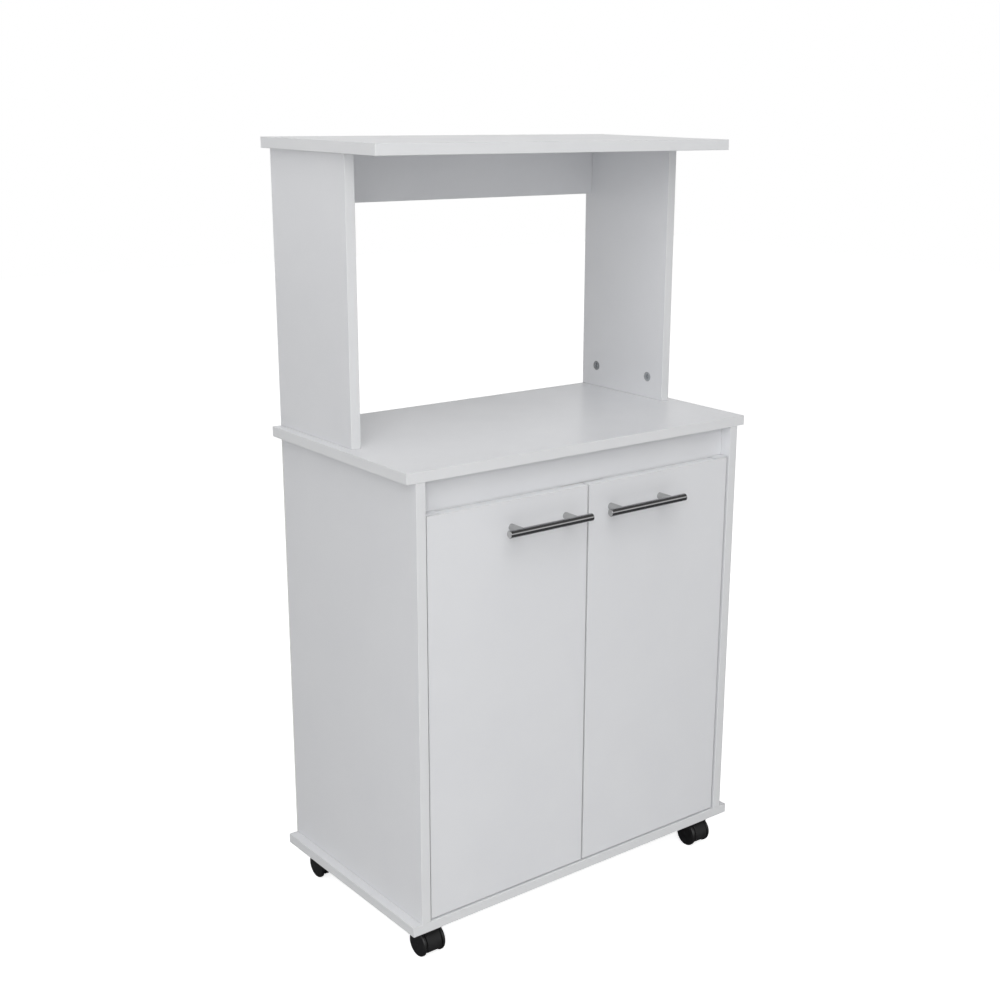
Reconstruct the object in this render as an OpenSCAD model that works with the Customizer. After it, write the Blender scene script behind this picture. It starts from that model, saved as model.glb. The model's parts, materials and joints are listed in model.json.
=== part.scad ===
// White kitchen cabinet on four twin-wheel casters, with two doors below,
// an open appliance bay on the worktop and a top shelf carried by two uprights.
// X runs to the right, Y to the back and Z up from the floor, in millimetres.

/* [Boards] */
// Thickness of every coated board
board_t = 15; // [14:0.5:18]
// Clear width between the side panels
inner_w = 560; // [500:10:600]
// How far the base, worktop and top shelf pass the side faces
overhang = 14; // [10:1:20]
// Depth of the base and the worktop
depth = 350; // [320:5:380]
// Height of the side panels
panel_h = 640; // [560:10:700]
// Thickness of the back panel
back_t = 3; // [2.5:0.5:4]
// Height of the rail above the doors
front_rail_h = 46; // [42:1:60]
// How far the front rail's face stands behind the front edges
front_rail_set = 18; // [18:0.5:24]

/* [Shelves] */
// Height of the uprights above the worktop
hutch_h = 392; // [340:4:440]
// Depth of the uprights
hutch_d = 195; // [180:5:220]
// Depth of the top shelf
top_shelf_d = 292; // [260:4:320]
// Height of the rail between the uprights
hutch_rail_h = 78; // [70:2:100]
// Depth of the shelf behind the doors
inner_shelf_d = 300; // [260:4:306]
// Gap at each end of the inner shelf
inner_shelf_gap = 1.2; // [1:0.1:2]

/* [Doors] */
// How far the doors stand behind the panels' front edges
door_recess = 2.5; // [1.5:0.5:3]
// Gap between a door and its side panel
door_side_gap = 3; // [2.5:0.5:4]
// Gap between the two doors
door_mid_gap = 3; // [2:0.5:4]
// Gap between the base and the doors, filled by the pivots' flanges
door_foot_gap = 2; // [1.6:0.2:3]
// Distance from a side panel to its door's pivot axis
pivot_in = 14; // [13:0.5:16]
// Distance from the panels' front edges back to the pivot axis
pivot_back = 9.5; // [8.5:0.5:10]
// Diameter of the pivot pins
pivot_d = 5; // [4:0.5:5.5]
// Radial clearance of the pivot pins in the doors' bushes
pivot_air = 0.05; // [0.03:0.01:0.09]
// Thickness of the folded strip that carries the top pivots
strip_t = 1.2; // [1:0.1:1.6]
// Clearance between the doors and that strip
strip_air = 0.3; // [0.3:0.1:0.6]

/* [Pulls] */
// Diameter of the pull bars
bar_d = 11; // [10:0.5:14]
// Length of the pull bars
bar_len = 146; // [130:4:178]
// Distance between a pull's two posts
post_pitch = 96; // [80:4:104]
// Diameter of the posts
post_d = 10; // [8:0.5:10]
// Distance from the door's face to the bar's centre
pull_reach = 28; // [24:1:34]
// Distance from the doors' meeting line to the nearer end of the bar
bar_in = 17; // [12:1:22]
// Distance from the top of the door down to the bar's centre
bar_drop = 38; // [34:1:50]

/* [Casters] */
// Height of the base above the floor
caster_h = 53; // [52:0.5:56]
// Diameter of the wheels
wheel_d = 40; // [38:0.5:41]
// Width of one wheel
wheel_w = 5; // [4:0.5:6]
// Distance between the middles of a caster's two wheels
wheel_pitch = 32; // [31:0.5:33]
// Rounding of a wheel's outer shoulder
wheel_round = 2.5; // [2:0.5:3]
// Distance from the swivel axis to the wheels' axle
trail = 14; // [13:0.5:16]
// Distance from the side edges to the swivel axes
swivel_side = 43; // [40:1:50]
// Distance from the front edge to the front swivel axes
swivel_front = 44; // [42:1:56]
// Distance from the back edge to the rear swivel axes
swivel_rear = 51; // [44:1:58]
// Diameter of the wheels' axle
axle_d = 6; // [5:0.5:6]
// Diameter of the swivel pin
kingpin_d = 6; // [5:0.5:6]
// Radial clearance of the wheels on the axle and of the hood on the swivel pin
running_air = 0.06; // [0.03:0.01:0.09]
// Side of the square mounting plate
plate_side = 38; // [36:1:40]
// Thickness of the mounting plate
plate_t = 2; // [1.5:0.5:2.5]

/* [Fittings] */
// Radial clearance around fixed pins, screws and dowels
fixed_air = 0.1; // [0.05:0.05:0.15]
// Diameter of the cam discs
cam_d = 15; // [14:0.5:16]
// Distance from a board's end to its cam discs
cam_in = 34; // [30:1:36]
// Diameter of the dowels
dowel_d = 8; // [6:0.5:8]
// Length of the dowels
dowel_len = 30; // [25:1:35]
// Diameter of the carcass screws
screw_d = 6; // [5:0.5:7]
// Length of the carcass screws
screw_len = 48; // [40:2:60]
// Diameter of the shelf pins
shelf_pin_d = 5; // [4:0.5:6]

/* [Hidden] */
$fn = 48;
white = [0.93, 0.93, 0.92];
steel = [0.72, 0.72, 0.72];
black = [0.12, 0.12, 0.13];
// Amount by which a cutting shape passes the face it starts from
past = 1;
// Frame, centred on the whole outline, pulls included
pull_out = pull_reach + bar_d / 2 - door_recess;
y_front = -depth / 2 + pull_out / 2;
y_back = y_front + depth;
x_in = inner_w / 2;
x_out = x_in + board_t;
x_mid = x_in + board_t / 2;
x_edge = x_out + overhang;
// Levels of the boards
z_base = caster_h;
z_floor = z_base + board_t;
z_under = z_floor + panel_h;
z_work = z_under + board_t;
z_rail = z_under - front_rail_h;
z_hutch = z_work + hutch_h;
z_top = z_hutch + board_t;
y_panel_back = y_back - back_t;
y_upright = y_back - hutch_d;
y_rail = y_front + front_rail_set;
y_rail_mid = y_rail + board_t / 2;
y_hutch_rail = y_back - board_t;
y_hutch_mid = y_back - board_t / 2;
// Doors and their pivots
y_door = y_front + door_recess;
y_door_back = y_door + board_t;
z_door = z_floor + door_foot_gap;
z_door_top = z_rail - strip_t - strip_air;
door_x0 = door_mid_gap / 2;
door_x1 = x_in - door_side_gap;
x_pivot = x_in - pivot_in;
y_pivot = y_front + pivot_back;
bush_d = pivot_d + 3;
bush_len = 12;
bush_bore = 10.5;
pin_up = 10;
pin_down = 10;
top_pin_len = 9;
flange_d = 11;
strip_end_gap = 1;
strip_x = x_in - strip_end_gap;
tab_w = 24;
tab_lead = 5;
lip_h = 9;
lip_x1 = x_pivot - 16;
strip_screw_x = [x_pivot - 18, x_in / 2];
fitting_screw_d = 3;
fitting_screw_len = 12;
// Pulls
bar_mid = bar_in + bar_len / 2;
z_bar = z_door_top - bar_drop;
y_bar = y_door - pull_reach;
spigot_d = 5;
spigot_len = 3;
pull_screw_d = 4;
pull_screw_head_d = 8;
pull_screw_head_t = 2.4;
pull_screw_in = 8;
// Magnetic catch under the front rail
catch_half = 36;
catch_h = 11.5;
lip_x0 = catch_half + 2;
catch_set = 1.7;
catch_back = 1;
magnet_x0 = 5;
magnet_x1 = 26;
magnet_h = 7;
magnet_deep = 9;
magnet_air = 0.1;
strike_t = 1;
strike_h = 9;
strike_x0 = 4;
strike_x1 = 28;
strike_drop = 0.5;
strike_pin_d = 3;
strike_pin_len = 8;
strike_pin_x = [9, 23];
catch_screw_x = 31;
z_strike = z_door_top - strike_drop - strike_h / 2;
z_catch = z_rail - strip_t - catch_h;
// Cams, dowels and screws
cam_deep = 12;
cam_bore_d = 8;
bolt_thread = 10;
bolt_thread_d = 6;
bolt_shank_d = 6.4;
bolt_neck_d = 3.6;
bolt_neck_len = 7;
bolt_head_len = 4;
bolt_head_d = 6.6;
cam_slot_d = 7.4;
dowel_in = 10;
screw_head_d = 10;
screw_head_t = 3;
screw_sunk = 1.2;
cap_d = 12;
cam_cross_w = 1.4;
cam_cross_deep = 2;
bolt_front_in = 45;
bolt_rear_in = 100;
upright_bolt_in = 35;
worktop_dowel_in = 80;
worktop_dowel_pitch = 70;
upright_dowel_in = 62;
base_screw_front_in = 13;
base_screw_rear_in = 19;
base_dowel_in = 85;
top_screw_in = 30;
front_bolt_drop = 16;
front_dowel_drop = 32;
hutch_dowel_reach = 24;
worktop_bolt_y = [y_front + bolt_front_in, y_back - bolt_rear_in];
upright_bolt_y = [y_upright + upright_bolt_in, y_back - upright_bolt_in];
worktop_dowel_y = [y_front + worktop_dowel_in, y_front + worktop_dowel_in + worktop_dowel_pitch];
upright_dowel_y = [y_upright + upright_dowel_in, y_back - upright_dowel_in];
base_screw_y = [y_front + base_screw_front_in, y_front + depth / 2, y_back - base_screw_rear_in];
base_dowel_y = [y_front + base_dowel_in, y_back - base_dowel_in];
top_screw_y = [y_upright + top_screw_in, y_back - top_screw_in];
top_dowel_y = [y_upright + upright_dowel_in, y_back - upright_dowel_in];
z_front_bolt = z_under - front_bolt_drop;
z_front_dowel = z_under - front_dowel_drop;
z_hutch_bolt = z_hutch - hutch_rail_h / 2;
hutch_dowel_z = [z_hutch_bolt - hutch_dowel_reach, z_hutch_bolt + hutch_dowel_reach];
// Back panel pins and shelf pins
nail_d = 1.6;
nail_len = 20;
nail_head_d = 3.2;
nail_head_t = 1;
nail_end_in = 40;
nail_z = [z_floor + nail_end_in, z_floor + panel_h * 0.35, z_floor + panel_h * 0.65, z_under - nail_end_in];
shelf_back_gap = 1;
y_shelf_back = y_panel_back - shelf_back_gap;
z_shelf = z_floor + (z_rail - z_floor) / 2;
shelf_pin_in = 9;
shelf_pin_out = 9;
shelf_pin_flange = 1;
shelf_pin_inset = 40;
shelf_hole_pitch = 32;
shelf_hole_rows = [-2, -1, 0, 1, 2];
shelf_pin_y = [y_shelf_back - inner_shelf_d + shelf_pin_inset, y_shelf_back - shelf_pin_inset];
z_shelf_pin = z_shelf - shelf_pin_d / 2;
// Casters
wheel_r = wheel_d / 2;
z_plate = caster_h - plate_t;
collar_d = 12;
collar_h = 2.4;
z_neck = z_plate - collar_h;
web_air = 1.8;
web_w = wheel_pitch - wheel_w - 2 * web_air;
web_r = wheel_r - 0.6;
web_foot = 10;
neck_w = 12;
hub_d = 11;
hub_in = 7;
hub_air = 0.4;
roof_air = 1;
roof_t = 2;
roof_low = 0.9;
roof_w = wheel_pitch;
neck_d = 17;
kingpin_len = 20;
kingpin_bore = 21;
web_front = 4.9;
axle_in_wheel = 10;
axle_end_air = 0.2;
snap_deep = 0.4;
snap_bite = 0.25;
snap_w = 1.2;
snap_side = 0.15;
snap_back = 3;
wheel_edge = 1;
plate_hole_in = 5;
plate_screw_r = 2;
caster_screw_len = 12;
caster_head_d = 7;
caster_head_t = 2;
x_swivel = x_edge - swivel_side;
y_swivel_front = y_front + swivel_front;
y_swivel_rear = y_back - swivel_rear;

// Turns a shape that stands along Z to lie along X, to the side given
module lie_x(side) {
    rotate([0, 90 * side, 0]) children();
}

// Turns a shape that stands along Z to lie along Y, to the side given
module lie_y(side) {
    rotate([-90 * side, 0, 0]) children();
}

// A board stated by its two opposite corners
module board(low, high) {
    translate(low) cube(high - low);
}

// A round bore with its clearance, cut past its mouth
module bore(d, len) {
    translate([0, 0, -past]) cylinder(d = d + 2 * fixed_air, h = len + past);
}

// Cam connector's bolt: its thread sits below zero and its head reaches the cam
module cam_bolt() {
    translate([0, 0, -bolt_thread]) cylinder(d = bolt_thread_d, h = bolt_thread);
    cylinder(d = bolt_shank_d, h = cam_in - bolt_neck_len);
    cylinder(d = bolt_neck_d, h = cam_in);
    translate([0, 0, cam_in - bolt_head_len / 2]) cylinder(d = bolt_head_d, h = bolt_head_len);
}

// Hole for the bolt's shank, from a board's end to its cam disc
module cam_bolt_way() {
    translate([0, 0, -past]) cylinder(d = cam_bore_d, h = cam_in + past);
}

// Cam disc, its face at zero and its body below, with the way in for the bolt along -X
module cam_disc() {
    difference() {
        translate([0, 0, -cam_deep]) cylinder(d = cam_d, h = cam_deep);
        translate([0, 0, -board_t / 2]) lie_x(-1) translate([0, 0, -bolt_head_len])
            cylinder(d = cam_slot_d, h = cam_d);
        for (turn = [0, 90]) rotate([0, 0, turn]) {
            translate([-cam_d / 4, -cam_cross_w / 2, -cam_cross_deep]) {
                cube([cam_d / 2, cam_cross_w, cam_cross_deep + past]);
            }
        }
    }
}

// Pocket for a cam disc
module cam_pocket() {
    translate([0, 0, -cam_deep]) cylinder(d = cam_d + 2 * fixed_air, h = cam_deep + past);
}

// Dowel that stands across the joint at zero
module dowel() {
    translate([0, 0, -dowel_in]) cylinder(d = dowel_d, h = dowel_len);
}

// The dowel's hole on the side where it goes deep
module dowel_deep() {
    bore(dowel_d, dowel_len - dowel_in);
}

// The dowel's hole on the side where it goes in a little
module dowel_shallow() {
    rotate([180, 0, 0]) bore(dowel_d, dowel_in);
}

// Carcass screw driven along +Z, its head's face at zero
module carcass_screw() {
    cylinder(d1 = screw_head_d, d2 = screw_d, h = screw_head_t);
    cylinder(d = screw_d, h = screw_len);
}

// Way for the screw through the outer board, with a recess over its head
module carcass_screw_way() {
    translate([0, 0, -past]) cylinder(d = cap_d + 2 * fixed_air, h = past + screw_sunk);
    translate([0, 0, screw_sunk]) {
        cylinder(d1 = screw_head_d + 2 * fixed_air, d2 = screw_d + 2 * fixed_air, h = screw_head_t);
        cylinder(d = screw_d + 2 * fixed_air, h = screw_len);
    }
}

// Wood screw with a flat head, driven along +Z, its head's face at zero
module flat_screw(d, len) {
    cylinder(d1 = 2 * d, d2 = d, h = d / 2);
    cylinder(d = d, h = len);
}

// Way for a flat-headed screw
module flat_screw_way(d, len) {
    a = 2 * fixed_air;
    cylinder(d1 = 2 * d + a, d2 = d + a, h = d / 2);
    cylinder(d = d + a, h = len);
    translate([0, 0, -past]) cylinder(d = 2 * d + a, h = past);
}

// Where the bolts, dowels and screws of the upright joints stand on one side
module at_worktop_bolts(side) {
    for (y = worktop_bolt_y) translate([side * x_mid, y, z_under]) rotate([180, 0, 0]) children();
}

module at_upright_bolts(side) {
    for (y = upright_bolt_y) translate([side * x_mid, y, z_work]) children();
}

module at_front_bolt(side) {
    translate([side * x_in, y_rail_mid, z_front_bolt]) lie_x(-side) children();
}

module at_hutch_bolt(side) {
    translate([side * x_in, y_hutch_mid, z_hutch_bolt]) lie_x(-side) children();
}

module at_worktop_dowels(side) {
    for (y = worktop_dowel_y) translate([side * x_mid, y, z_under]) rotate([180, 0, 0]) children();
}

module at_upright_dowels(side) {
    for (y = upright_dowel_y) translate([side * x_mid, y, z_work]) children();
}

module at_base_dowels(side) {
    for (y = base_dowel_y) translate([side * x_mid, y, z_floor]) children();
}

module at_top_dowels(side) {
    for (y = top_dowel_y) translate([side * x_mid, y, z_hutch]) rotate([180, 0, 0]) children();
}

module at_front_dowel(side) {
    translate([side * x_in, y_rail_mid, z_front_dowel]) lie_x(-side) children();
}

module at_hutch_dowels(side) {
    for (z = hutch_dowel_z) translate([side * x_in, y_hutch_mid, z]) lie_x(-side) children();
}

module at_base_screws(side) {
    for (y = base_screw_y) translate([side * x_mid, y, z_base]) children();
}

module at_top_screws(side) {
    for (y = top_screw_y) translate([side * x_mid, y, z_top]) rotate([180, 0, 0]) children();
}

// Where the cam discs lie, each with its face on the board's face
module at_panel_cams(side) {
    for (y = worktop_bolt_y) translate([side * x_in, y, z_under - cam_in]) {
        lie_x(-side) rotate([0, 0, side > 0 ? 180 : 0]) children();
    }
}

module at_upright_cams(side) {
    for (y = upright_bolt_y) translate([side * x_in, y, z_work + cam_in]) {
        lie_x(-side) rotate([0, 0, side > 0 ? 0 : 180]) children();
    }
}

module at_front_cam(side) {
    translate([side * (x_in - cam_in), y_rail + board_t, z_front_bolt]) {
        lie_y(1) rotate([0, 0, side > 0 ? 180 : 0]) children();
    }
}

module at_hutch_cam(side) {
    translate([side * (x_in - cam_in), y_back, z_hutch_bolt]) {
        lie_y(1) rotate([0, 0, side > 0 ? 180 : 0]) children();
    }
}

// Screws of the top pivot strip, driven up into the front rail
module at_strip_screws(side) {
    for (x = strip_screw_x) translate([side * x, y_rail_mid, z_rail - strip_t]) children();
}

module at_catch_screws() {
    for (side = [-1, 1]) translate([side * catch_screw_x, y_rail_mid, z_catch]) children();
}

// Board on which the casters and the side panels are fixed
module base_board() {
    color(white) difference() {
        board([-x_edge, y_front, z_base], [x_edge, y_back, z_floor]);
        for (side = [-1, 1]) {
            at_base_screws(side) carcass_screw_way();
            at_base_dowels(side) dowel_shallow();
            translate([side * x_pivot, y_pivot, z_floor]) rotate([180, 0, 0]) bore(pivot_d, pin_down);
        }
        for (side = [-1, 1]) for (rear = [false, true]) at_caster(side, rear) {
            at_plate_holes() translate([0, 0, caster_h]) bore(2 * plate_screw_r, caster_screw_len - plate_t);
        }
    }
}

// One side panel of the closed compartment
module side_panel(side) {
    low_x = side > 0 ? x_in : -x_out;
    color(white) difference() {
        board([low_x, y_front, z_floor], [low_x + board_t, y_panel_back, z_under]);
        at_worktop_bolts(side) cam_bolt_way();
        at_panel_cams(side) cam_pocket();
        at_worktop_dowels(side) dowel_deep();
        at_base_dowels(side) dowel_deep();
        at_base_screws(side) carcass_screw_way();
        at_front_bolt(side) rotate([180, 0, 0]) bore(bolt_thread_d, bolt_thread);
        at_front_dowel(side) dowel_shallow();
        for (z = nail_z) translate([side * x_mid, y_back, z]) lie_y(-1) bore(nail_d, nail_len);
        for (y = shelf_pin_y) for (row = shelf_hole_rows) {
            translate([side * x_in, y, z_shelf_pin + row * shelf_hole_pitch]) {
                lie_x(side) bore(shelf_pin_d, shelf_pin_in);
            }
        }
    }
}

module side_panel_left() {
    side_panel(-1);
}

module side_panel_right() {
    side_panel(1);
}

// Worktop that closes the compartment and floors the open bay
module worktop() {
    color(white) difference() {
        board([-x_edge, y_front, z_under], [x_edge, y_back, z_work]);
        for (side = [-1, 1]) {
            at_worktop_bolts(side) rotate([180, 0, 0]) bore(bolt_thread_d, bolt_thread);
            at_upright_bolts(side) rotate([180, 0, 0]) bore(bolt_thread_d, bolt_thread);
            at_worktop_dowels(side) dowel_shallow();
            at_upright_dowels(side) dowel_shallow();
        }
    }
}

// Rail above the doors, set back so that the doors can pass under it
module front_rail() {
    color(white) difference() {
        board([-x_in, y_rail, z_rail], [x_in, y_rail + board_t, z_under]);
        for (side = [-1, 1]) {
            at_front_bolt(side) cam_bolt_way();
            at_front_cam(side) cam_pocket();
            at_front_dowel(side) dowel_deep();
            at_strip_screws(side) flat_screw_way(fitting_screw_d, fitting_screw_len);
        }
        at_catch_screws() bore(fitting_screw_d, catch_h + fitting_screw_len);
    }
}

// Loose shelf behind the doors
module inner_shelf() {
    x_end = x_in - inner_shelf_gap;
    color(white) board([-x_end, y_shelf_back - inner_shelf_d, z_shelf],
        [x_end, y_shelf_back, z_shelf + board_t]);
}

// Thin panel that closes the back and squares the carcass
module back_panel() {
    color(white) difference() {
        board([-x_out, y_panel_back, z_floor], [x_out, y_back, z_under]);
        for (side = [-1, 1]) for (z = nail_z) translate([side * x_mid, y_back, z]) lie_y(-1) {
            bore(nail_d, nail_len);
            cylinder(d1 = nail_head_d + 2 * fixed_air, d2 = nail_d + 2 * fixed_air, h = nail_head_t);
        }
    }
}

// One upright of the open bay
module upright(side) {
    low_x = side > 0 ? x_in : -x_out;
    color(white) difference() {
        board([low_x, y_upright, z_work], [low_x + board_t, y_back, z_hutch]);
        at_upright_bolts(side) cam_bolt_way();
        at_upright_cams(side) cam_pocket();
        at_upright_dowels(side) dowel_deep();
        at_top_dowels(side) dowel_deep();
        at_top_screws(side) carcass_screw_way();
        at_hutch_bolt(side) rotate([180, 0, 0]) bore(bolt_thread_d, bolt_thread);
        at_hutch_dowels(side) dowel_shallow();
    }
}

module upright_left() {
    upright(-1);
}

module upright_right() {
    upright(1);
}

// Rail that keeps the uprights square
module hutch_rail() {
    color(white) difference() {
        board([-x_in, y_hutch_rail, z_hutch - hutch_rail_h], [x_in, y_back, z_hutch]);
        for (side = [-1, 1]) {
            at_hutch_bolt(side) cam_bolt_way();
            at_hutch_cam(side) cam_pocket();
            at_hutch_dowels(side) dowel_deep();
        }
    }
}

// Shelf on top of the uprights
module top_shelf() {
    color(white) difference() {
        board([-x_edge, y_back - top_shelf_d, z_hutch], [x_edge, y_back, z_top]);
        for (side = [-1, 1]) {
            at_top_screws(side) carcass_screw_way();
            at_top_dowels(side) dowel_shallow();
        }
    }
}

// Where a door's two pull screws enter it from behind
module at_pull_screws(side) {
    for (end = [-1, 1]) {
        translate([side * (bar_mid + end * post_pitch / 2), y_door_back, z_bar]) lie_y(-1) children();
    }
}

// One door, its bushes let into the top and bottom edges
module door(side) {
    low_x = side > 0 ? door_x0 : -door_x1;
    color(white) difference() {
        board([low_x, y_door, z_door], [low_x + door_x1 - door_x0, y_door_back, z_door_top]);
        translate([side * x_pivot, y_pivot, z_door]) bore(bush_d, bush_len);
        translate([side * x_pivot, y_pivot, z_door_top]) rotate([180, 0, 0]) bore(bush_d, bush_len);
        at_pull_screws(side) bore(pull_screw_d, board_t + past);
        for (x = strike_pin_x) {
            translate([side * x, y_door_back, z_strike]) lie_y(-1) bore(strike_pin_d, strike_pin_len);
        }
    }
}

module door_left() {
    door(-1);
}

module door_right() {
    door(1);
}

// Round bar of one pull, with a socket for each post
module pull_bar(side) {
    color(steel) difference() {
        translate([side * bar_mid - bar_len / 2, y_bar, z_bar]) lie_x(1) cylinder(d = bar_d, h = bar_len);
        for (end = [-1, 1]) translate([side * (bar_mid + end * post_pitch / 2), y_bar, z_bar]) {
            lie_y(1) translate([0, 0, bar_d / 2 - spigot_len - 1]) {
                cylinder(d = spigot_d + 2 * fixed_air, h = bar_d);
            }
        }
    }
}

module pull_bar_left() {
    pull_bar(-1);
}

module pull_bar_right() {
    pull_bar(1);
}

// Two posts of one pull, each hollowed to seat on the bar and drilled for its screw
module pull_posts(side) {
    color(steel) for (end = [-1, 1]) {
        translate([side * (bar_mid + end * post_pitch / 2), y_door, z_bar]) difference() {
            union() {
                difference() {
                    lie_y(-1) cylinder(d = post_d, h = pull_reach);
                    translate([-bar_len / 2, -pull_reach, 0]) lie_x(1) {
                        cylinder(d = bar_d + fixed_air, h = bar_len);
                    }
                }
                lie_y(-1) cylinder(d = spigot_d, h = pull_reach - bar_d / 2 + spigot_len);
            }
            lie_y(-1) bore(pull_screw_d, pull_screw_in);
        }
    }
}

module pull_posts_left() {
    pull_posts(-1);
}

module pull_posts_right() {
    pull_posts(1);
}

// Two machine screws that hold one pull from behind the door
module pull_screws(side) {
    color(steel) at_pull_screws(side) {
        translate([0, 0, -pull_screw_head_t]) cylinder(d = pull_screw_head_d, h = pull_screw_head_t);
        cylinder(d = pull_screw_d, h = board_t + pull_screw_in);
    }
}

module pull_screws_left() {
    pull_screws(-1);
}

module pull_screws_right() {
    pull_screws(1);
}

// Flanged pins in the base, on which the doors stand and turn
module bottom_pivots() {
    color(steel) for (side = [-1, 1]) translate([side * x_pivot, y_pivot, z_floor]) {
        translate([0, 0, -pin_down]) cylinder(d = pivot_d, h = pin_down + door_foot_gap + pin_up);
        cylinder(d = flange_d, h = door_foot_gap);
    }
}

// Folded strip under the front rail: its tabs hold the pins in the doors' top edges,
// and its lip stands behind the doors and closes the slit above them
module top_pivot_strip() {
    z0 = z_rail - strip_t;
    color(white) difference() {
        union() {
            board([-strip_x, y_rail, z0], [strip_x, y_rail + board_t, z_rail]);
            for (side = [-1, 1]) {
                tab_x = side > 0 ? strip_x - tab_w : -strip_x;
                lip_x = side > 0 ? lip_x0 : -lip_x1;
                board([tab_x, y_pivot - tab_lead, z0], [tab_x + tab_w, y_rail + strip_t, z_rail]);
                board([lip_x, y_rail, z_rail - lip_h], [lip_x + lip_x1 - lip_x0, y_rail + strip_t, z_rail]);
                translate([side * x_pivot, y_pivot, z0 - top_pin_len]) {
                    cylinder(d = pivot_d, h = top_pin_len + strip_t / 2);
                }
            }
        }
        for (side = [-1, 1]) at_strip_screws(side) flat_screw_way(fitting_screw_d, fitting_screw_len);
        at_catch_screws() bore(fitting_screw_d, catch_h + fitting_screw_len);
    }
}

// Screws that hold the strip under the rail
module top_pivot_screws() {
    color(steel) for (side = [-1, 1]) {
        at_strip_screws(side) flat_screw(fitting_screw_d, fitting_screw_len);
    }
}

// Nylon bushes of one door, flush with its edges
module door_bushes(side) {
    color(white) for (top = [false, true]) {
        translate([side * x_pivot, y_pivot, top ? z_door_top : z_door]) rotate([top ? 180 : 0, 0, 0]) {
            difference() {
                cylinder(d = bush_d, h = bush_len);
                translate([0, 0, -past]) cylinder(d = pivot_d + 2 * pivot_air, h = bush_bore + past);
            }
        }
    }
}

module door_bushes_left() {
    door_bushes(-1);
}

module door_bushes_right() {
    door_bushes(1);
}

// Plastic case of the double magnetic catch, with a pocket for each magnet
module catch_case() {
    y0 = y_door_back + catch_set;
    color(white) difference() {
        board([-catch_half, y0, z_catch], [catch_half, y_rail + board_t - catch_back, z_catch + catch_h]);
        for (side = [-1, 1]) magnet(side, fixed_air);
        at_catch_screws() flat_screw_way(fitting_screw_d, catch_h + fitting_screw_len);
    }
}

// Block of one magnet, grown by the clearance asked for
module magnet(side, air) {
    low_x = side > 0 ? magnet_x0 : -magnet_x1;
    high_x = low_x + magnet_x1 - magnet_x0;
    y0 = y_door_back + strike_t + magnet_air;
    y1 = y_door_back + strike_t + magnet_deep;
    board([low_x - air, y0 - air, z_strike - magnet_h / 2 - air],
        [high_x + air, y1, z_strike + magnet_h / 2 + air]);
}

// Magnets that hold the doors shut
module catch_magnets() {
    color(steel) for (side = [-1, 1]) magnet(side, 0);
}

// Screws that hold the catch, driven through the strip into the rail
module catch_screws() {
    color(steel) at_catch_screws() flat_screw(fitting_screw_d, catch_h + fitting_screw_len);
}

// Steel plate on a door's rear face, held by two pressed-in pins
module strike_plate(side) {
    low_x = side > 0 ? strike_x0 : -strike_x1;
    color(steel) {
        board([low_x, y_door_back, z_strike - strike_h / 2],
            [low_x + strike_x1 - strike_x0, y_door_back + strike_t, z_strike + strike_h / 2]);
        for (x = strike_pin_x) translate([side * x, y_door_back + strike_t / 2, z_strike]) {
            lie_y(-1) cylinder(d = strike_pin_d, h = strike_t / 2 + strike_pin_len);
        }
    }
}

module strike_plate_left() {
    strike_plate(-1);
}

module strike_plate_right() {
    strike_plate(1);
}

// Puts a caster under its corner, wheels toward the nearer end of the cabinet
module at_caster(side, rear) {
    translate([side * x_swivel, rear ? y_swivel_rear : y_swivel_front, 0]) {
        rotate([0, 0, rear ? 180 : 0]) children();
    }
}

module at_plate_holes() {
    reach = plate_side / 2 - plate_hole_in;
    for (sx = [-1, 1]) for (sy = [-1, 1]) translate([sx * reach, sy * reach, 0]) children();
}

// Pin with a snap groove near its end, standing from zero
module snap_pin(d, len) {
    r = d / 2;
    groove = len - snap_back;
    rotate_extrude() polygon([[0, 0], [r, 0], [r, groove - snap_w], [r - snap_deep, groove - snap_w],
        [r - snap_deep, groove], [r, groove], [r, len], [0, len]]);
}

// Blind bore that runs on the pin, with a lip that sits in its groove
module snap_bore(d, len, pin_len) {
    r = d / 2 + running_air;
    lip = d / 2 - snap_bite;
    groove = pin_len - snap_back;
    rotate_extrude() polygon([[0, -past], [r, -past], [r, groove - snap_w + snap_side],
        [lip, groove - snap_w + snap_side], [lip, groove - snap_side], [r, groove - snap_side],
        [r, len], [0, len]]);
}

// Mounting plate with the riveted swivel pin and its collar
module caster_plate(side, rear) {
    color(black) at_caster(side, rear) {
        difference() {
            translate([-plate_side / 2, -plate_side / 2, z_plate]) cube([plate_side, plate_side, plate_t]);
            at_plate_holes() translate([0, 0, z_plate]) bore(2 * plate_screw_r, plate_t + past);
        }
        translate([0, 0, z_neck]) cylinder(d = collar_d, h = collar_h);
        translate([0, 0, z_neck]) rotate([180, 0, 0]) snap_pin(kingpin_d, kingpin_len);
    }
}

module caster_plate_fl() {
    caster_plate(-1, false);
}

module caster_plate_fr() {
    caster_plate(1, false);
}

module caster_plate_bl() {
    caster_plate(-1, true);
}

module caster_plate_br() {
    caster_plate(1, true);
}

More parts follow.
